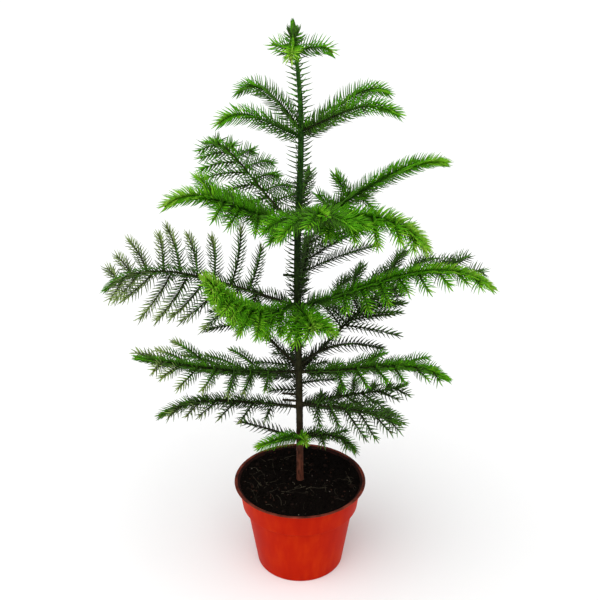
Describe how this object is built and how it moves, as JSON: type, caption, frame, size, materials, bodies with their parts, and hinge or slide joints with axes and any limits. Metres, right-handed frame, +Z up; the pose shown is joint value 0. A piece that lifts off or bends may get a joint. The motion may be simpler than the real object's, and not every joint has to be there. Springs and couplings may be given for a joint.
{
  "type": "potted norfolk island pine",
  "caption": "Young Norfolk Island pine in a tapered round nursery pot: straight trunk, level tiers of drooping boughs and needle-covered sprays.",
  "frame": {"origin": "middle of the pot's flat underside", "axes": "+Z up along the trunk; -Y towards the viewer in the picture; +X to the viewer's right"},
  "size_m": [0.3287, 0.2224, 0.482],
  "materials": {
    "pot_plastic": "moulded orange-red plastic, slightly glossy",
    "peat": "moist dark peat with pale fibres",
    "bark": "thin rough bark, brown below and green above",
    "needles": "soft green needles, paler at the young tips"
  },
  "bodies": {
    "root": {"pot": "pot_plastic", "soil": "peat", "trunk": "bark", "tip_tuft": "needles", "tier1_spray_left_back": "needles", "tier1_spray_left_front": "needles", "tier1_spray_front": "needles", "tier1_spray_right": "needles", "tier2_bough_right": "bark", "tier2_spray_right": "needles", "tier2_bough_back": "bark", "tier2_spray_back": "needles", "tier2_bough_left": "bark", "tier2_spray_left": "needles", "tier2_bough_right_front": "bark", "tier2_spray_right_front": "needles", "tier3_bough_right": "bark", "tier3_spray_right": "needles", "tier3_bough_right_back": "bark", "tier3_spray_right_back": "needles", "tier3_bough_back_right": "bark", "tier3_spray_back_right": "needles", "tier3_bough_back_left": "bark", "tier3_spray_back_left": "needles", "tier3_bough_left": "bark", "tier3_spray_left": "needles", "tier4_bough_right": "bark", "tier4_spray_right": "needles", "tier4_bough_back": "bark", "tier4_spray_back": "needles", "tier4_bough_left": "bark", "tier4_spray_left": "needles", "tier4_bough_left_front": "bark", "tier4_spray_left_front": "needles", "tier4_bough_right_front": "bark", "tier4_spray_right_front": "needles", "tier5_bough_right_back": "bark", "tier5_spray_right_back": "needles", "tier5_bough_back": "bark", "tier5_spray_back": "needles", "tier5_bough_left_back": "bark", "tier5_spray_left_back": "needles", "tier5_bough_left_front": "bark", "tier5_spray_left_front": "needles", "tier5_bough_front": "bark", "tier5_spray_front": "needles", "tier5_bough_right_front": "bark", "tier5_spray_right_front": "needles", "tier6_spray_right_back": "needles", "tier6_spray_left_back": "needles", "tier6_spray_left_front": "needles", "tier6_spray_right_front": "needles", "tier7_spray_right": "needles", "tier7_spray_back": "needles", "tier7_spray_left": "needles", "tier7_spray_front": "needles"}
  },
  "joints": []
}
